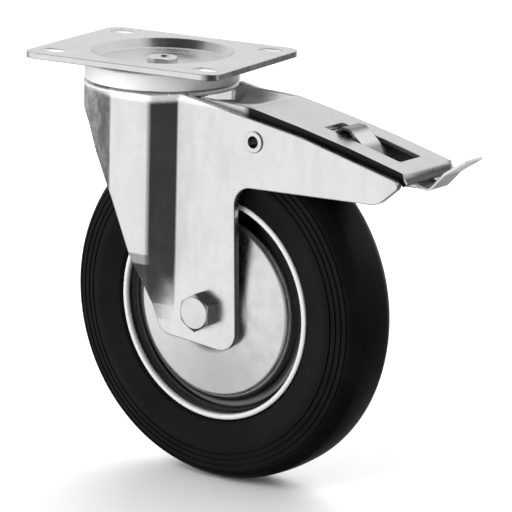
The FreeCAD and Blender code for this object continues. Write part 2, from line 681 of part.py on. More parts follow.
def roller_cage():
    body = new_body("cage_blank")
    sketch = body_sketch(body, "cage_section", "YZ_Plane")
    draw_box(sketch, "-cage_half", "cage_half", "cage_inner", "cage_outer")
    turned(body, sketch, axis="H_Axis")
    windows = []
    number = int(value("roller_number"))
    for i in range(number):
        angle = 2 * math.pi * i / number
        window = doc.addObject("Part::Cylinder", "cage_window")
        bind(window, "Radius", "roller_radius + running_gap")
        bind(window, "Height", "2 * (roller_half + running_gap)")
        row = value("roller_row")
        window.Placement = FreeCAD.Placement(
            V(row * math.cos(angle), value("roller_half + running_gap"), row * math.sin(angle)),
            TOWARDS_NEAR)
        windows.append(window)
    node(cut("cage_ring", body, fused("cage_windows", windows)), "roller_cage", ON_AXLE)


# ---------------------------------------------------------------- brake lever

def brake_lever():
    web = free_sketch("web_path", SIDE_VIEW)
    draw(web, [("web_front_x", "-web_front_z"), ("web_step_x", "-web_front_z", "ramp_bend"),
               ("web_knee_x", "-web_knee_z", "ramp_bend"),
               ("web_mid_x", "-web_mid_z", "web_soft"), ("web_far_x", "-web_far_z", "web_soft"),
               ("web_tip_x", "-web_tip_z", "lip_bend"), ("lip_x", "-lip_z", "lip_bend / 2"),
               ("lip_flare_x", "-lip_flare_z")], closed=False)
    top = extruded("lever_web", strip("web_section", web, "lever_gauge"), V(0, 1, 0),
                   "2 * lever_half")
    cheeks = []
    for side in (-1, 1):
        outline = free_sketch("cheek_outline", SIDE_VIEW)
        draw(outline, [
            ("cheek_front_x", "-cheek_top_z", "cheek_round"),
            ("web_knee_x", "-web_knee_z", "web_soft"), ("web_mid_x", "-web_mid_z"),
            ("web_far_x", "-web_far_z"), ("web_tip_x", "-web_tip_z"),
            ("cheek_tip_x", "-cheek_tip_z", "cheek_round"),
            ("cheek_deep_x", "-cheek_mid_z", "cheek_round"),
            ("cheek_pin_x", "-cheek_pin_z", "cheek_round"),
            ("cheek_front_x", "-cheek_low_z", "cheek_round / 2")])
        cheek = extruded("lever_cheek", outline, V(0, 1, 0), "lever_gauge")
        cheek.Placement.Base.y = side * value("lever_half - lever_gauge / 2")
        cheeks.append(cheek)
    shell = fused("lever_shell", [top] + cheeks)
    window = free_sketch("lever_window", PLAN_VIEW)
    draw_box(window, "window_start", "window_end", "-window_half", "window_half",
             "window_round")
    slot = free_sketch("loop_slot", PLAN_VIEW)
    draw_box(slot, "loop_slot_start", "loop_slot_end", "-loop_slot_half", "loop_slot_half",
             "window_round")
    tools = [extruded("window_tool", window, V(0, 0, -1), "side_reach", both=False),
             extruded("slot_tool", slot, V(0, 0, -1), "side_reach", both=False),
             cross_bar("lever_pivot_hole", "pivot_x", "pivot_z", "pivot_radius + running_gap",
                       "side_reach")]
    for y in ("-pawl_rivet_y", "pawl_rivet_y"):
        tools.append(rivet_bore("web_rivet_hole", "pawl_rivet_x", y))
    node(cut("lever_channel", shell, fused("lever_tools", tools)), "brake_lever", ON_FORK)


def rivet_bore(name, x, y):
    bore = doc.addObject("Part::Cylinder", name)
    bind(bore, "Radius", "rivet_radius + running_gap")
    bind(bore, "Height", "side_reach")
    bore.Placement.Base = V(value(x), value(y), -value("side_reach"))
    return bore


def latch_leaf():
    path = free_sketch("leaf_path", SIDE_VIEW)
    draw(path, [("leaf_a_x", "-leaf_a_z"), ("leaf_b_x", "-leaf_b_z", "leaf_bend"),
                ("leaf_c_x", "-leaf_c_z", "leaf_crest"), ("leaf_d_x", "-leaf_d_z", "leaf_crest"),
                ("leaf_e_x", "-leaf_e_z", "leaf_soft"),
                ("leaf_f_x", "-leaf_f_z", "leaf_bend"),
                ("leaf_g_x", "-leaf_g_z", "leaf_soft"), ("leaf_h_x", "-leaf_h_z")],
         closed=False)
    band = extruded("leaf_band", strip("leaf_section", path, "leaf_gauge"), V(0, 1, 0),
                    "2 * leaf_half")
    node(band, "latch_leaf", ON_FORK)


def lock_pawl():
    roof = "(web_front_z + lever_gauge + running_gap)"
    body = new_body("pawl_blank")
    outline = body_sketch(body, "pawl_outline", "XY_Plane", "-" + roof)
    draw(outline, [("pawl_back_x", "-pawl_half"), ("pawl_back_x", "pawl_half"),
                   ("pawl_body_x", "pawl_half", "edge_round"),
                   ("pawl_body_x", "pawl_tooth_half"), ("pawl_tip_x", "pawl_tooth_half"),
                   ("pawl_tip_x", "-pawl_tooth_half"), ("pawl_body_x", "-pawl_tooth_half"),
                   ("pawl_body_x", "-pawl_half", "edge_round")])
    pad(body, outline, "pawl_gauge", reverse=True)
    holes = [rivet_bore("pawl_hole", "pawl_rivet_x", y) for y in ("-pawl_rivet_y",
                                                                 "pawl_rivet_y")]
    node(cut("pawl_plate", body, fused("pawl_holes", holes)), "lock_pawl", ON_FORK)


def brake_shoe():
    """Bracket under the lever whose curved foot meets the tread at full travel."""
    turn = "brake_travel"
    arm_x, arm_z = "(axle_x - pivot_x)", "(pivot_z - axle_z)"
    centre_x = "pivot_x + %s * cos(%s) - %s * sin(%s)" % (arm_x, turn, arm_z, turn)
    centre_z = "-pivot_z + %s * sin(%s) + %s * cos(%s)" % (arm_x, turn, arm_z, turn)
    block = free_sketch("shoe_block", SIDE_VIEW)
    draw(block, [("shoe_start_x", "-shoe_roof_start"), ("shoe_step_x", "-shoe_roof_end"),
                 ("shoe_step_x", "-shoe_shelf_z"), ("shoe_end_x", "-shoe_shelf_z"),
                 ("shoe_end_x", "-axle_z"), ("shoe_start_x", "-axle_z")])
    solid = extruded("shoe_solid", block, V(0, 1, 0), "2 * shoe_half")
    tread = doc.addObject("Part::Cylinder", "shoe_tread")
    bind(tread, "Radius", "tyre_radius + shoe_gap")
    bind(tread, "Height", "2 * side_reach")
    tread.Placement = FreeCAD.Placement(V(value(centre_x), -value("side_reach"),
                                          value(centre_z)), FreeCAD.Rotation(V(1, 0, 0), -90))
    hollow = doc.addObject("Part::Cylinder", "shoe_hollow")
    bind(hollow, "Radius", "tyre_radius + shoe_gap + shoe_wall")
    bind(hollow, "Height", "2 * side_reach")
    hollow.Placement = tread.Placement
    inside = free_sketch("shoe_inside", SIDE_VIEW)
    draw(inside, [("shoe_start_x + shoe_wall", "-(shoe_shelf_z + shoe_wall)"),
                  ("shoe_end_x - shoe_wall", "-(shoe_shelf_z + shoe_wall)"),
                  ("shoe_end_x - shoe_wall", "-axle_z"), ("shoe_start_x + shoe_wall", "-axle_z")])
    core = cut("shoe_core", extruded("shoe_core_block", inside, V(0, 1, 0), "2 * side_reach"),
               hollow)
    node(cut("shoe_bracket", solid, fused("shoe_tools", [tread, core])), "brake_shoe", ON_FORK)


def rivet_pair(name, x, y, top, bottom):
    """Two dome-head rivets: the head sits on top and the shank ends flush below."""
    pieces = []
    for hand in ("-", ""):
        body = new_body(name + "_one")
        sketch = body_sketch(body, name + "_section", "XZ_Plane")
        draw(sketch, [("0", "-" + bottom), ("rivet_radius", "-" + bottom),
                      ("rivet_radius", "-" + top), ("rivet_head_radius", "-" + top),
                      ("rivet_head_radius", "rivet_head / 2 - " + top, "rivet_edge"),
                      ("rivet_crown", "rivet_head - " + top, "rivet_radius"),
                      ("0", "rivet_head - " + top)])
        turned(body, sketch)
        body.Placement.Base = V(value(x), value(hand + y), 0)
        pieces.append(body)
    group = doc.addObject("Part::Compound", name)
    group.Links = pieces
    node(group, name, ON_FORK)


# ---------------------------------------------------------------- build everything

top_plate()
king_pin()
lock_disc()
ball_row("lower_balls", "lower_ball_radius", "lower_ball_row",
         "crown_top + crown_thickness + running_gap + lower_ball_radius", "lower_ball_number",
         ON_FORK)
ball_row("upper_balls", "upper_ball_radius", "upper_ball_row",
         "crown_top - running_gap - upper_ball_radius", "upper_ball_number", ON_FORK)
race_ring()
fork()
axle_bolt()
axle_nut()
plain_ring("nut_washer", "fork_half", "fork_half + nut_washer_thick",
           "bolt_radius + running_gap", "nut_washer_radius", ON_AXLE, "edge_round / 2")
plain_ring("axle_sleeve", "-(fork_half - wall - running_gap)", "fork_half - wall - running_gap",
           "bolt_radius + running_gap", "sleeve_radius", ON_AXLE)
pivot_tube()
tyre()
rim("rim_near", "-")
rim("rim_far", "")
plain_ring("hub_tube", "-hub_half", "hub_half", "hub_bore", "hub_outer", ON_AXLE)
plain_ring("hub_seal_near", "-seal_half", "-(hub_half + running_gap)", "seal_inner", "hub_outer",
           ON_AXLE, "edge_round / 2")
plain_ring("hub_seal_far", "hub_half + running_gap", "seal_half", "seal_inner", "hub_outer",
           ON_AXLE, "edge_round / 2")
rollers()
roller_cage()
brake_lever()
latch_leaf()
lock_pawl()
brake_shoe()
rivet_pair("pawl_rivets", "pawl_rivet_x", "pawl_rivet_y", "web_front_z",
           "(web_front_z + lever_gauge + pawl_gauge + running_gap)")
doc.recompute()

# ---------------------------------------------------------------- check and write

for thing in doc.Objects:
    if "Invalid" in thing.State or "Error" in thing.State:
        raise RuntimeError("%s (%s) did not build: %s" % (thing.Name, thing.Label, thing.State))

os.makedirs("parts", exist_ok=True)
for name, (thing, placement) in NODES.items():
    thing.Placement = placement.multiply(thing.Placement)
    shape = thing.Shape
    if shape.isNull() or not shape.isValid() or not shape.Solids:
        raise RuntimeError("%s has no valid solid" % name)
    shape.exportStep("parts/%s.step" % name)
    box = shape.BoundBox
    print("%-18s solids %2d  volume %10.1f  x %7.1f %7.1f  y %7.1f %7.1f  z %7.1f %7.1f" % (
        name, len(shape.Solids), shape.Volume, box.XMin, box.XMax, box.YMin, box.YMax,
        box.ZMin, box.ZMax))
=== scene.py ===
import json
import math

import bmesh
import bpy
from mathutils import Matrix, Vector


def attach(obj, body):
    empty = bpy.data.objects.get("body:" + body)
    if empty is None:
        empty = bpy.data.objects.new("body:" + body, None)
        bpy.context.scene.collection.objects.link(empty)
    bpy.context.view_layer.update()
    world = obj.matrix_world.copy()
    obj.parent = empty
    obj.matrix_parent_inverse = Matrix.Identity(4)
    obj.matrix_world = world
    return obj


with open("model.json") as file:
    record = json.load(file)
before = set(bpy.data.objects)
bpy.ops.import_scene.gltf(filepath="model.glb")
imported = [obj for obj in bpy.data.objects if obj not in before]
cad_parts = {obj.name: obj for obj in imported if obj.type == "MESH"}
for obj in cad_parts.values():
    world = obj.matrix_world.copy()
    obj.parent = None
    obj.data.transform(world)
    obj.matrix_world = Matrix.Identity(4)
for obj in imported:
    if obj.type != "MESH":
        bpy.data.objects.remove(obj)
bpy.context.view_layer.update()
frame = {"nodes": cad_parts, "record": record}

MM = 0.001
NODES = frame["nodes"]

# ---------------------------------------------------------------- places in the row frame

FORK_TURN = Matrix.Rotation(math.radians(-7.4), 4, "Z")
FLOOR_Z = -0.2366
FLOOR_HALF_SIZE = 12.0
DOWN = Vector((0.0, 0.0, -1.0))
PLATE_BACK = Vector((-1.0, 0.0, 0.0))


def from_fork(point):
    """A point in the fork's own frame, in millimetres, as a point in the row frame."""
    return FORK_TURN @ (Vector(point) * MM)


AXLE_POINT = from_fork((52.35, 0.0, -136.5))
AXLE_LINE = FORK_TURN.to_3x3() @ Vector((0.0, 1.0, 0.0))
ARM_LINE = FORK_TURN.to_3x3() @ Vector((1.0, 0.0, 0.0))


# ---------------------------------------------------------------- material helpers

def new_material(name):
    material = bpy.data.materials.new(name)
    material.use_nodes = True
    tree = material.node_tree
    return material, tree, tree.nodes["Principled BSDF"]


def add(tree, kind, **settings):
    node = tree.nodes.new(kind)
    for key, value in settings.items():
        if key in node.inputs:
            node.inputs[key].default_value = value
        else:
            setattr(node, key, value)
    return node


def link(tree, a, out, b, into):
    tree.links.new(a.outputs[out], b.inputs[into])


def ramp(tree, source, out, stops):
    node = tree.nodes.new("ShaderNodeValToRGB")
    node.color_ramp.elements[0].position = stops[0][0]
    node.color_ramp.elements[0].color = (*[stops[0][1]] * 3, 1)
    node.color_ramp.elements[1].position = stops[-1][0]
    node.color_ramp.elements[1].color = (*[stops[-1][1]] * 3, 1)
    for position, value in stops[1:-1]:
        node.color_ramp.elements.new(position).color = (value, value, value, 1)
    link(tree, source, out, node, "Fac")
    return node


def noise(tree, scale, detail=4.0, rough=0.55, stretch=(1, 1, 1), kind="noise"):
    place = add(tree, "ShaderNodeTexCoord")
    mapping = add(tree, "ShaderNodeMapping")
    mapping.inputs["Scale"].default_value = [scale * s for s in stretch]
    link(tree, place, "Object", mapping, "Vector")
    if kind == "cells":
        node = add(tree, "ShaderNodeTexVoronoi", Scale=1.0, Randomness=1.0)
    else:
        node = add(tree, "ShaderNodeTexNoise", Scale=1.0, Detail=detail, Roughness=rough)
    link(tree, mapping, "Vector", node, "Vector")
    return node


def blend_colour(tree, factor, out, dark, light):
    mix = add(tree, "ShaderNodeMix", data_type="RGBA")
    link(tree, factor, out, mix, "Factor")
    mix.inputs[6].default_value = (*dark, 1)
    mix.inputs[7].default_value = (*light, 1)
    return mix


CLOUD_SHARE, FLAKE_SHARE = 0.55, 0.45
SPECK_STRENGTH, SPECK_DARKNESS = 0.30, 0.45
RUB_ROUGHNESS, CLOUD_ROUGHNESS = 0.10, 0.08
METAL_IOR = 1.9


def metal(name, dark, light, rough, spangle=230.0, blotch=28.0, bump=0.06, edge=0.0005,
          scratch=0.5, grain=(1, 1, 1)):
    """Plated sheet: faint crystal spangle, cloudy blotches, fine scratches, softened edges."""
    material, tree, shader = new_material(name)
    shader.inputs["Metallic"].default_value = 1.0
    shader.inputs["IOR"].default_value = METAL_IOR
    cloud = ramp(tree, noise(tree, blotch, 5.0, 0.6), "Fac", [(0.30, 0.0), (0.72, 1.0)])
    flakes = noise(tree, spangle, kind="cells")
    flake_tone = ramp(tree, flakes, "Color", [(0.0, 0.35), (1.0, 0.65)])
    mixed = add(tree, "ShaderNodeMath", operation="MULTIPLY_ADD")
    link(tree, cloud, "Color", mixed, 0)
    mixed.inputs[1].default_value = CLOUD_SHARE
    flake_part = add(tree, "ShaderNodeMath", operation="MULTIPLY")
    link(tree, flake_tone, "Color", flake_part, 0)
    flake_part.inputs[1].default_value = FLAKE_SHARE
    link(tree, flake_part, "Value", mixed, 2)
    tone = blend_colour(tree, mixed, "Value", dark, light)
    specks = ramp(tree, noise(tree, 420.0, 3.0, 0.7), "Fac", [(0.66, 0.0), (0.74, 1.0)])
    stain = add(tree, "ShaderNodeMix", data_type="RGBA")
    dim = add(tree, "ShaderNodeMath", operation="MULTIPLY")
    link(tree, specks, "Color", dim, 0)
    dim.inputs[1].default_value = SPECK_STRENGTH
    link(tree, dim, "Value", stain, "Factor")
    tree.links.new(tone.outputs[2], stain.inputs[6])
    stain.inputs[7].default_value = (*[d * SPECK_DARKNESS for d in dark], 1)
    tree.links.new(stain.outputs[2], shader.inputs["Base Color"])
    lines = noise(tree, 95.0, 6.0, 0.65, stretch=grain)
    lines_tone = ramp(tree, lines, "Fac", [(0.42, 0.0), (0.66, 1.0)])
    rub = add(tree, "ShaderNodeMath", operation="MULTIPLY_ADD")
    link(tree, lines_tone, "Color", rub, 0)
    rub.inputs[1].default_value = RUB_ROUGHNESS
    rub.inputs[2].default_value = rough
    gloss = add(tree, "ShaderNodeMath", operation="MULTIPLY_ADD")
    link(tree, cloud, "Color", gloss, 0)
    gloss.inputs[1].default_value = CLOUD_ROUGHNESS
    link(tree, rub, "Value", gloss, 2)
    link(tree, gloss, "Value", shader, "Roughness")
    soft = add(tree, "ShaderNodeBevel", samples=6)
    soft.inputs["Radius"].default_value = edge
    peel = add(tree, "ShaderNodeBump", Strength=bump, Distance=0.0006)
    link(tree, noise(tree, 55.0, 3.0, 0.5), "Fac", peel, "Height")
    link(tree, soft, "Normal", peel, "Normal")
    fine = add(tree, "ShaderNodeBump", Strength=scratch * 0.12, Distance=0.00012)
    link(tree, noise(tree, 900.0, 4.0, 0.7, stretch=grain), "Fac", fine, "Height")
    link(tree, peel, "Normal", fine, "Normal")
    link(tree, fine, "Normal", shader, "Normal")
    return material


def moulded(name, dark, light, rough, scale=60.0, bump=0.15, edge=0.0004, sheen=0.0,
             specular=0.5):
    """Rubber or plastic: cloudy tone, matt and shiny patches, a fine moulded grain."""
    material, tree, shader = new_material(name)
    shader.inputs["Metallic"].default_value = 0.0
    shader.inputs["Sheen Weight"].default_value = sheen
    shader.inputs["Specular IOR Level"].default_value = specular
    cloud = ramp(tree, noise(tree, scale, 5.0, 0.6), "Fac", [(0.32, 0.0), (0.70, 1.0)])
    tone = blend_colour(tree, cloud, "Color", dark, light)
    tree.links.new(tone.outputs[2], shader.inputs["Base Color"])
    patches = ramp(tree, noise(tree, scale * 0.35, 4.0, 0.5), "Fac",
                   [(0.35, rough - 0.07), (0.65, rough + 0.08)])
    link(tree, patches, "Color", shader, "Roughness")
    soft = add(tree, "ShaderNodeBevel", samples=4)
    soft.inputs["Radius"].default_value = edge
    grain = add(tree, "ShaderNodeBump", Strength=bump, Distance=0.00025)
    link(tree, noise(tree, 1400.0, 3.0, 0.6), "Fac", grain, "Height")
    link(tree, soft, "Normal", grain, "Normal")
    link(tree, grain, "Normal", shader, "Normal")
    return material


def darken(material, mask, floor_level):
    """Multiplies a material's base colour by floor_level where the mask is 1."""
    tree = material.node_tree
    shader = tree.nodes["Principled BSDF"]
    source = shader.inputs["Base Color"].links[0].from_socket
    dim = add(tree, "ShaderNodeMapRange")
    link(tree, mask, 0, dim, "Value")
    dim.inputs["To Min"].default_value = 1.0
    dim.inputs["To Max"].default_value = floor_level
    scaled = add(tree, "ShaderNodeVectorMath", operation="SCALE")
    tree.links.new(source, scaled.inputs[0])
    tree.links.new(dim.outputs["Result"], scaled.inputs["Scale"])
    tree.links.new(scaled.outputs["Vector"], shader.inputs["Base Color"])


def paint_pale_light(material, mask, level):
    """Painted light: turns the mirror finish into a plain pale one where the mask is 1."""
    tree = material.node_tree
    shader = tree.nodes["Principled BSDF"]
    shine = add(tree, "ShaderNodeMath", operation="SUBTRACT")
    shine.inputs[0].default_value = 1.0
    link(tree, mask, 0, shine, 1)
    link(tree, shine, "Value", shader, "Metallic")
    source = shader.inputs["Base Color"].links[0].from_socket
    paler = add(tree, "ShaderNodeMix", data_type="RGBA")
    link(tree, mask, 0, paler, "Factor")
    tree.links.new(source, paler.inputs[6])
    paler.inputs[7].default_value = (level, level, level, 1)
    tree.links.new(paler.outputs[2], shader.inputs["Base Color"])


def radius_from_axle(tree):
    """Distance of the shaded point from the axle's line, in metres."""
    place = add(tree, "ShaderNodeTexCoord")
    offset = add(tree, "ShaderNodeVectorMath", operation="SUBTRACT")
    link(tree, place, "Object", offset, 0)
    offset.inputs[1].default_value = AXLE_POINT
    cross = add(tree, "ShaderNodeVectorMath", operation="CROSS_PRODUCT")
    link(tree, offset, "Vector", cross, 0)
    cross.inputs[1].default_value = AXLE_LINE
    length = add(tree, "ShaderNodeVectorMath", operation="LENGTH")
    link(tree, cross, "Vector", length, 0)
    return length


def along(tree, direction):
    """How far the shaded point lies along a direction through the origin, in metres."""
    place = add(tree, "ShaderNodeTexCoord")
    dot = add(tree, "ShaderNodeVectorMath", operation="DOT_PRODUCT")
    link(tree, place, "Object", dot, 0)
    dot.inputs[1].default_value = direction
    return dot


def stop_mask(tree, source, stops_mm):
    """Soft mask over a length: a list of (millimetres, level), from zero upwards."""
    reach = stops_mm[-1][0] * MM
    share = add(tree, "ShaderNodeMath", operation="DIVIDE")
    link(tree, source, "Value", share, 0)
    share.inputs[1].default_value = reach
    return ramp(tree, share, "Value", [(mm * MM / reach, level) for mm, level in stops_mm])


def span_mask(tree, stops_mm):
    """Mask over the distance from the fork's middle plane."""
    size = add(tree, "ShaderNodeMath", operation="ABSOLUTE")
    link(tree, along(tree, AXLE_LINE), "Value", size, 0)
    return stop_mask(tree, size, stops_mm)


def reach_mask(tree, stops_mm):
    """Mask over the distance from the swivel axis towards the lever's tip."""
    return stop_mask(tree, along(tree, ARM_LINE), stops_mm)


def both_masks(tree, a, b):
    product = add(tree, "ShaderNodeMath", operation="MULTIPLY")
    link(tree, a, 0, product, 0)
    link(tree, b, 0, product, 1)
    return product


# The underside of the lever's top sheet falls by WEB_FALL from x WEB_START, at z WEB_Z there.
WEB_FALL, WEB_START, WEB_Z = 0.212, 79.0, -18.4
WEB_SHADE_FULL, WEB_SHADE_GONE = 3.6, 1.6


def under_web_mask(tree):
    """1 on whatever lies below the sheet of the lever's top, whose line falls towards the tip."""
    line = ARM_LINE * WEB_FALL + Vector((0.0, 0.0, 1.0))
    below = add(tree, "ShaderNodeMapRange")
    link(tree, along(tree, line), "Value", below, "Value")
    level = (WEB_FALL * WEB_START + WEB_Z) * MM
    below.inputs["From Min"].default_value = level - WEB_SHADE_FULL * MM
    below.inputs["From Max"].default_value = level - WEB_SHADE_GONE * MM
    below.inputs["To Min"].default_value = 1.0
    below.inputs["To Max"].default_value = 0.0
    return below


def ring_mask(tree, stops_mm):
    """Soft mask over distance from the axle: a list of (millimetres, level)."""
    return stop_mask(tree, radius_from_axle(tree), stops_mm)


# Bounds of the bolt slots from the plate's middle, each (axis, mask 0 at, mask 1 at) in mm.
SLOT_BOUNDS = (("X", 57.6, 57.2), ("Y", 42.6, 42.0), ("X", 40.5, 41.0), ("Y", 30.5, 31.0),
               ("Z", 0.5, 0.9))


def plate_slot_mask(tree):
    """1 on the walls of the four bolt slots: inside the plate's edge and outside its dish."""
    place = add(tree, "ShaderNodeTexCoord")
    split = add(tree, "ShaderNodeSeparateXYZ")
    link(tree, place, "Object", split, "Vector")
    mask = None
    for axis, none_at, full_at in SLOT_BOUNDS:
        size = add(tree, "ShaderNodeMath", operation="ABSOLUTE")
        link(tree, split, axis, size, 0)
        fade = add(tree, "ShaderNodeMapRange")
        link(tree, size, "Value", fade, "Value")
        fade.inputs["From Min"].default_value = none_at * MM
        fade.inputs["From Max"].default_value = full_at * MM
        mask = fade if mask is None else both_masks(tree, mask, fade)
    return mask


# Two sizes of blot on the drawn sheet, each (scale, clear at, full at, share).
STRETCH_BLOTS = ((110.0, 0.40, 0.60, 1.0), (330.0, 0.46, 0.62, 0.75))
# The first level here is painted shade on the fork's front wall.
FRONT_PAINTED_SHADE, STRETCH_BLOT_LEVEL, CRUMPLE_HEIGHT = 0.50, 0.50, 0.0011
# Pale level of the painted highlight on the fork's shoulder.
SHOULDER_HIGHLIGHT_LEVEL = 0.80


def stretch_marks_and_painted_shade(material):
    """Coarse, crumpled tone on the deeply drawn front of the fork, and painted shade just behind its
    front edge.
    """
    tree = material.node_tree
    shader = tree.nodes["Principled BSDF"]
    backwards = along(tree, PLATE_BACK)
    mask = stop_mask(tree, backwards, [(0, 0), (7.4, 0), (10.0, 1), (60, 1)])
    # Painted shade on the front wall: full from 9.4 mm behind the front, gone by 30 mm.
    shade = stop_mask(tree, backwards, [(0, 0), (7.4, 0), (9.4, 1), (17, 0.8), (30, 0), (60, 0)])
    darken(material, shade, FRONT_PAINTED_SHADE)
    for scale, low, high, share in STRETCH_BLOTS:
        blots = ramp(tree, noise(tree, scale, 6.0, 0.7, stretch=(1, 1, 0.7)), "Fac",
                     [(low, 0.0), (high, share)])
        darken(material, both_masks(tree, mask, blots), STRETCH_BLOT_LEVEL)
    normal = shader.inputs["Normal"].links[0].from_socket
    crumple = add(tree, "ShaderNodeBump", Distance=CRUMPLE_HEIGHT)
    link(tree, mask, "Color", crumple, "Strength")
    link(tree, noise(tree, 210.0, 6.0, 0.7, stretch=(1, 1, 0.6)), "Fac", crumple, "Height")
    tree.links.new(normal, crumple.inputs["Normal"])
    link(tree, crumple, "Normal", shader, "Normal")


def painted_shoulder_highlight(material):
    """Painted highlight: a soft pale band on the roll where the fork's crown turns down into its
    walls.
    """
    tree = material.node_tree
    depth = along(tree, DOWN)
    roll = stop_mask(tree, depth, [(0, 0), (16.2, 0), (17.0, 0.85), (19.4, 0.8), (21.6, 0),
                                   (200, 0)])
    paint_pale_light(material, roll, SHOULDER_HIGHLIGHT_LEVEL)


MATERIALS = {
    "zinc_sheet": metal("fork_zinc", (0.66, 0.66, 0.65), (0.86, 0.86, 0.85), 0.20, bump=0.10,
                        edge=0.0010, grain=(1, 1, 0.25)),
    "zinc_plate": metal("plate_zinc", (0.64, 0.64, 0.64), (0.80, 0.80, 0.80), 0.18,
                        edge=0.0008),
    "zinc_ring": moulded("ring_pale", (0.66, 0.66, 0.66), (0.73, 0.73, 0.73), 0.40, 30.0, 0.05),
    "lever_zinc": metal("lever_zinc", (0.62, 0.62, 0.62), (0.80, 0.80, 0.80), 0.24, bump=0.12,
                        edge=0.0008),
    "rim_zinc": metal("rim_zinc", (0.64, 0.64, 0.64), (0.82, 0.82, 0.82), 0.20, blotch=18.0),
    "spring_strip": metal("strip_bright", (0.74, 0.74, 0.74), (0.90, 0.90, 0.90), 0.20),
    "lever_scoop": metal("scoop_zinc", (0.58, 0.58, 0.58), (0.74, 0.74, 0.74), 0.40, bump=0.12,
                         edge=0.0008),
    "plain_steel": metal("plain_steel", (0.36, 0.36, 0.37), (0.52, 0.52, 0.53), 0.34),
    "bolt_zinc": metal("bolt_zinc", (0.62, 0.62, 0.62), (0.84, 0.84, 0.84), 0.20, 400.0,
                       edge=0.00025),
    "bearing_steel": metal("bearing_steel", (0.60, 0.60, 0.62), (0.75, 0.75, 0.77), 0.10),
    "cage_plastic": moulded("cage_dark", (0.03, 0.03, 0.03), (0.06, 0.06, 0.06), 0.5),
    "seal_grey": moulded("seal_grey", (0.20, 0.20, 0.20), (0.30, 0.30, 0.30), 0.45),
    "tyre_rubber": moulded("tyre_black", (0.0028, 0.0028, 0.0028), (0.0055, 0.0055, 0.0055),
                           0.45, 40.0, 0.2, specular=0.10),
}


PART_METAL_SHARE = 0.15
# Painted shade in the rim's hollow, a painted highlight on its bead, and painted light on the
# plate's slot walls.
RIM_HOLLOW_SHADE_LEVEL, RIM_BEAD_HIGHLIGHT_LEVEL, SLOT_WALL_LIGHT_LEVEL = 0.05, 0.62, 0.85
LEVER_SIDE_LEVEL, LEVER_INSIDE_LEVEL, SCOOP_LEVEL, STRIP_LEVEL = 0.03, 0.16, 0.48, 0.30

stretch_marks_and_painted_shade(MATERIALS["zinc_sheet"])
painted_shoulder_highlight(MATERIALS["zinc_sheet"])
for name in ("zinc_ring", "lever_scoop"):
    shader = MATERIALS[name].node_tree.nodes["Principled BSDF"]
    shader.inputs["Metallic"].default_value = PART_METAL_SHARE


def shade_rim(material):
    """Painted shade in the hollow between disc and bead, and a painted highlight on the bead, made
    pale and matt, by distance from the axle.
    """
    tree = material.node_tree
    # Painted shade in the hollow between disc and bead.
    darken(material,
           ring_mask(tree, [(0, 0), (51.0, 0), (52.2, 1), (54.4, 1), (55.2, 0.86),
                            (57.2, 0.86), (57.9, 1), (58.8, 1), (59.6, 0), (90, 0)]),
           RIM_HOLLOW_SHADE_LEVEL)
    # Painted highlight: the bead is made pale and matt.
    bead = both_masks(tree, ring_mask(tree, [(0, 0), (59.9, 0), (60.5, 1), (90, 1)]),
                      span_mask(tree, [(0, 0), (15.5, 0), (17.0, 1), (40, 1)]))
    paint_pale_light(material, bead, RIM_BEAD_HIGHLIGHT_LEVEL)


def shade_lever(material):
    """Shade on the lever's near outer side, and inside its channel below the top sheet."""
    tree = material.node_tree
    outer_side = both_masks(tree, span_mask(tree, [(0, 0), (22.75, 0), (23.1, 1), (40, 1)]),
                            reach_mask(tree, [(0, 0), (74.5, 0), (79.0, 1), (220, 1)]))
    near_side = stop_mask(tree, along(tree, AXLE_LINE), [(0, 1), (3, 1), (9, 0), (60, 0)])
    darken(material, both_masks(tree, outer_side, near_side), LEVER_SIDE_LEVEL)
    inside = both_masks(tree, span_mask(tree, [(0, 1), (21.2, 1), (21.8, 0), (40, 0)]),
                        reach_mask(tree, [(0, 0), (92, 0), (98, 1), (220, 1)]))
    darken(material, both_masks(tree, inside, under_web_mask(tree)), LEVER_INSIDE_LEVEL)


def shade_scoop(material):
    """Shade that deepens with the scoop, fullest on its near side."""
    tree = material.node_tree
    sunk = stop_mask(tree, along(tree, DOWN), [(0, 0), (17.6, 0), (19.4, 0.75), (24.0, 1), (40, 1)])
    near_side = stop_mask(tree, along(tree, AXLE_LINE), [(0, 1), (7, 1), (14, 0.3), (40, 0.3)])
    darken(material, both_masks(tree, sunk, near_side), SCOOP_LEVEL)


def shade_strip(material):
    """Shade on the latch strip's loop and where it passes under the lip."""
    darken(material,
           reach_mask(material.node_tree,
                      [(0, 0), (121, 0), (124, 1), (135.6, 1), (138.2, 0), (143, 0), (146, 0.85),
                       (172, 0.85), (182, 0), (220, 0)]), STRIP_LEVEL)


shade_rim(MATERIALS["rim_zinc"])
# Painted light: the walls of the bolt slots are made pale and matt so they read as lit.
paint_pale_light(MATERIALS["zinc_plate"], plate_slot_mask(MATERIALS["zinc_plate"].node_tree),
      SLOT_WALL_LIGHT_LEVEL)
shade_lever(MATERIALS["lever_zinc"])
shade_scoop(MATERIALS["lever_scoop"])
shade_strip(MATERIALS["spring_strip"])


# ---------------------------------------------------------------- pressed shapes on the parts

def smoothstep(low, high, value):
    t = min(max((value - low) / (high - low), 0.0), 1.0)
    return t * t * (3 - 2 * t)


# The scoop in the fork's frame, in millimetres: plan, depth, and the tray under the crown.
SCOOP_RIM, SCOOP_END, SCOOP_HALF = 30.5, 81.0, 20.7
SCOOP_DEPTH, SCOOP_RUN_START, SCOOP_RUN_MARGIN, SCOOP_BEND = 7.6, 54.0, 2.0, 12.0
SCOOP_COLUMNS, SCOOP_ROWS, SCOOP_GAUGE = 72, 48, 0.6
BRIM_Z, BRIM_RISE, BRIM_RISE_END = -18.57, 0.038, 75.0
BRIM_FALL, BRIM_FALL_START = 0.182, 79.0
CROWN_CLEAR, CROWN_FADE, TRAY_Z, TRAY_FALL = 45.6, 3.4, -24.9, 0.1406


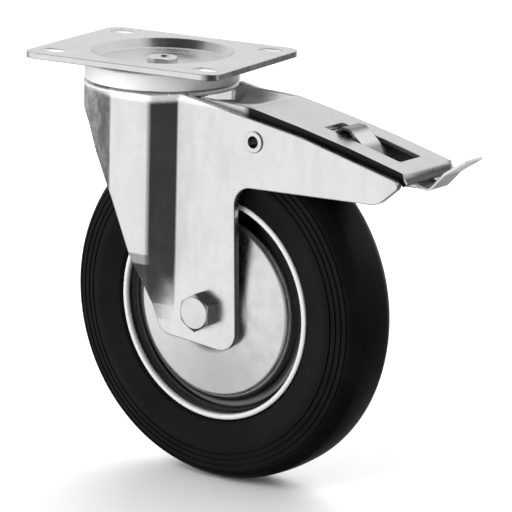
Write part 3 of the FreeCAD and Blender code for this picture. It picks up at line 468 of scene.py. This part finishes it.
def lever_scoop():
    """The pressed trough at the lever's root, a bowl that falls away under the swivel head."""
    verts, faces = [], []
    for i in range(SCOOP_COLUMNS + 1):
        for j in range(SCOOP_ROWS + 1):
            y = SCOOP_HALF * (2 * j / SCOOP_ROWS - 1)
            start = math.sqrt(SCOOP_RIM ** 2 - y ** 2)
            x = start + (SCOOP_END - start) * i / SCOOP_COLUMNS
            bend = SCOOP_BEND * (abs(y) / SCOOP_HALF) ** 3
            deep = SCOOP_DEPTH * (1 - smoothstep(SCOOP_RUN_START - 0.4 * bend,
                                                 SCOOP_END - SCOOP_RUN_MARGIN - bend, x))
            wall = 1 - (abs(y) / SCOOP_HALF) ** 5
            brim = (BRIM_Z + BRIM_RISE * max(BRIM_RISE_END - x, 0.0)
                    - BRIM_FALL * max(x - BRIM_FALL_START, 0.0))
            free = smoothstep(CROWN_CLEAR, CROWN_CLEAR + CROWN_FADE, math.hypot(x, y))
            tray = TRAY_Z - TRAY_FALL * (CROWN_CLEAR - min(x, CROWN_CLEAR))
            verts.append(from_fork((x, y, tray + (brim - deep * wall - tray) * free)))
    column = SCOOP_ROWS + 1
    for i in range(SCOOP_COLUMNS):
        for j in range(SCOOP_ROWS):
            a = i * column + j
            faces.append((a, a + column, a + column + 1, a + 1))
    mesh = bpy.data.meshes.new("lever_scoop")
    mesh.from_pydata(verts, [], faces)
    obj = bpy.data.objects.new("lever_scoop", mesh)
    shell = obj.modifiers.new("gauge", "SOLIDIFY")
    shell.thickness = SCOOP_GAUGE * MM
    shell.offset = -1.0
    bpy.context.scene.collection.objects.link(obj)
    mesh.materials.append(MATERIALS["lever_scoop"])
    for polygon in mesh.polygons:
        polygon.use_smooth = True
    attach(obj, "lever")


# ---------------------------------------------------------------- CAD nodes that stay

NODE_SLOTS = {s["node"]: s["material_slot"] for s in frame["record"]["subparts"]}


for node_name, obj in NODES.items():
    obj.data.materials.clear()
    obj.data.materials.append(MATERIALS[NODE_SLOTS[node_name]])


lever_scoop()


# ---------------------------------------------------------------- stage, lights, camera

def plain_floor():
    mesh = bpy.data.meshes.new("floor")
    builder = bmesh.new()
    bmesh.ops.create_grid(builder, x_segments=8, y_segments=8, size=FLOOR_HALF_SIZE)
    builder.to_mesh(mesh)
    builder.free()
    floor = bpy.data.objects.new("floor", mesh)
    floor.location.z = FLOOR_Z
    bpy.context.scene.collection.objects.link(floor)
    material, tree, shader = new_material("floor_pale")
    tone = blend_colour(tree, noise(tree, 3.0), "Fac", (0.94, 0.94, 0.94), (0.97, 0.97, 0.97))
    tree.links.new(tone.outputs[2], shader.inputs["Base Color"])
    shader.inputs["Roughness"].default_value = 0.9
    shader.inputs["Specular IOR Level"].default_value = 0.1
    mesh.materials.append(material)
    floor.visible_glossy = False


OBJECT_MIDDLE = (0.06, 0.0, -0.11)


def softbox(name, location, size, energy, aim=OBJECT_MIDDLE):
    lamp = bpy.data.lights.new(name, "AREA")
    lamp.shape = "RECTANGLE"
    lamp.size, lamp.size_y = size
    lamp.energy = energy
    obj = bpy.data.objects.new(name, lamp)
    obj.location = location
    obj.rotation_euler = (Vector(aim) - Vector(location)).to_track_quat("-Z", "Y").to_euler()
    obj.visible_glossy = False
    bpy.context.scene.collection.objects.link(obj)


def panel_axis(azimuth, elevation):
    """Unit direction: azimuth 0 is +X and 90 is +Y, in degrees."""
    a, e = math.radians(azimuth), math.radians(elevation)
    return (math.cos(a) * math.cos(e), math.sin(a) * math.cos(e), math.sin(e))


# The light tent: soft patches in order, each (azimuth, elevation, full inside, gone outside, level).
TENT_LEVEL = 0.50
TENT = [
    (105, 25, 50, 80, 0.86),
    (90, 80, 30, 60, 0.95),
    (-140, -14, 24, 42, 1.08),
    (172, -14, 10, 26, 0.46),
    (-92, 48, 32, 46, 0.05),
    (0, -90, 42, 72, 0.06),
    (-35, -6, 26, 46, 0.05),
    (46, -16, 16, 36, 0.11),
]


def world_light():
    world = bpy.data.worlds.new("studio")
    world.use_nodes = True
    bpy.context.scene.world = world
    tree = world.node_tree
    place = add(tree, "ShaderNodeTexCoord")
    level = add(tree, "ShaderNodeValue")
    level.outputs[0].default_value = TENT_LEVEL
    for azimuth, elevation, full, gone, value in TENT:
        facing = add(tree, "ShaderNodeVectorMath", operation="DOT_PRODUCT")
        link(tree, place, "Generated", facing, 0)
        facing.inputs[1].default_value = panel_axis(azimuth, elevation)
        fade = add(tree, "ShaderNodeMapRange", interpolation_type="SMOOTHSTEP")
        tree.links.new(facing.outputs["Value"], fade.inputs["Value"])
        fade.inputs["From Min"].default_value = math.cos(math.radians(gone))
        fade.inputs["From Max"].default_value = math.cos(math.radians(full))
        mix = add(tree, "ShaderNodeMix", data_type="FLOAT")
        link(tree, fade, "Result", mix, 0)
        tree.links.new(level.outputs[0], mix.inputs[2])
        mix.inputs[3].default_value = value
        level = mix
    background = tree.nodes["Background"]
    tree.links.new(level.outputs[0], background.inputs["Color"])
    background.inputs["Strength"].default_value = 1.0


CAMERA_LENS, CAMERA_SENSOR, CAMERA_DISTANCE = 246.09, 36.0, 1.957
CAMERA_AZIMUTH, CAMERA_ELEVATION, CAMERA_ROLL = 29.12, 13.82, 1.36
CAMERA_AIM = Vector((0.06328, -0.00038, -0.10987))


def studio_camera():
    data = bpy.data.cameras.new("camera")
    data.sensor_width = CAMERA_SENSOR
    data.lens = CAMERA_LENS
    camera = bpy.data.objects.new("camera", data)
    azimuth, elevation, roll = map(math.radians, (CAMERA_AZIMUTH, CAMERA_ELEVATION,
                                                CAMERA_ROLL))
    back = Vector((math.sin(azimuth) * math.cos(elevation),
                   -math.cos(azimuth) * math.cos(elevation), math.sin(elevation)))
    right = Vector((math.cos(azimuth), math.sin(azimuth), 0.0))
    up = back.cross(right)
    turned_right = right * math.cos(roll) + up * math.sin(roll)
    turned_up = up * math.cos(roll) - right * math.sin(roll)
    basis = Matrix((turned_right, turned_up, back)).transposed().to_4x4()
    camera.matrix_world = Matrix.Translation(CAMERA_AIM + back * CAMERA_DISTANCE) @ basis
    bpy.context.scene.collection.objects.link(camera)
    bpy.context.scene.camera = camera


plain_floor()
world_light()
softbox("key", (-0.35, -2.0, 1.3), (1.6, 1.6), 45.0)
softbox("back", (-0.6, 1.9, 1.2), (2.2, 1.2), 54.0)
softbox("fill", (-0.5, -1.9, -0.02), (1.6, 0.36), 14.0, aim=(0.0, 0.0, -0.01))
studio_camera()
bpy.context.scene.view_settings.view_transform = "Standard"
